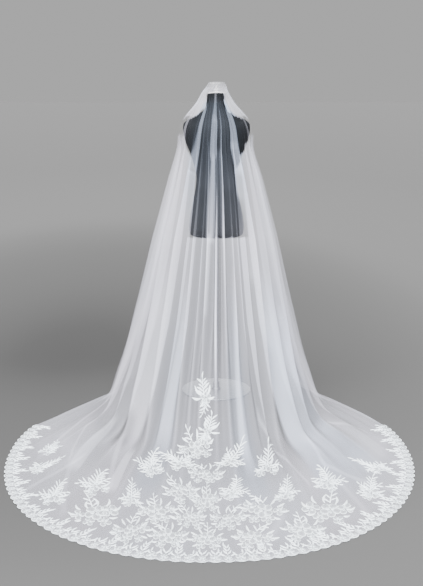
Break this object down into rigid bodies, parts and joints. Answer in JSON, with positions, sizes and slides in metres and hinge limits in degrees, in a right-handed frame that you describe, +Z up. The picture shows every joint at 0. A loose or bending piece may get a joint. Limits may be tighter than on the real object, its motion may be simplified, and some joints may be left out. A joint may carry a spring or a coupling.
{
  "type": "bridal veil on a limbless dress form",
  "caption": "Long sheer bridal veil gathered on a comb, with a scalloped lace hem and train, spread over a dress form on a round base.",
  "frame": {"origin": "centre of the base disc's underside, on the floor", "axes": "+Z up, the train runs out along -Y and the form's chest faces +Y"},
  "size_m": [1.8138, 2.0828, 1.6565],
  "materials": {
    "net": "soft sheer net, faint lavender white, one layer",
    "lace": "corded floral lace applique, cool white",
    "comb": "clear to milky plastic",
    "jersey": "charcoal jersey cover, stretched smooth",
    "white": "satin white",
    "steel": "plated tube",
    "silver": "brushed, silvery"
  },
  "bodies": {
    "root": {"base_disc": "silver", "border_1": "lace", "border_2": "lace", "border_3": "lace", "border_4": "lace", "comb": "comb", "lace_centre_crown": "lace", "lace_centre_flower": "lace", "lace_centre_foot": "lace", "lace_centre_foot_left": "lace", "lace_centre_foot_right": "lace", "lace_centre_low_left": "lace", "lace_centre_low_right": "lace", "lace_centre_mid": "lace", "lace_centre_stem": "lace", "lace_centre_tip": "lace", "lace_centre_wing_left": "lace", "lace_centre_wing_right": "lace", "lace_left_1": "lace", "lace_left_10": "lace", "lace_left_2": "lace", "lace_left_3": "lace", "lace_left_4": "lace", "lace_left_5": "lace", "lace_left_6": "lace", "lace_left_7": "lace", "lace_left_8": "lace", "lace_left_9": "lace", "lace_right_1": "lace", "lace_right_2": "lace", "lace_right_3": "lace", "lace_right_4": "lace", "lace_right_5": "lace", "lace_right_6": "lace", "lace_right_7": "lace", "lace_right_8": "lace", "lace_right_9": "lace", "neck_plate": "white", "neck_post": "white", "pole": "steel", "pole_collar": "steel", "torso": "jersey", "veil_net": "net"}
  },
  "joints": []
}
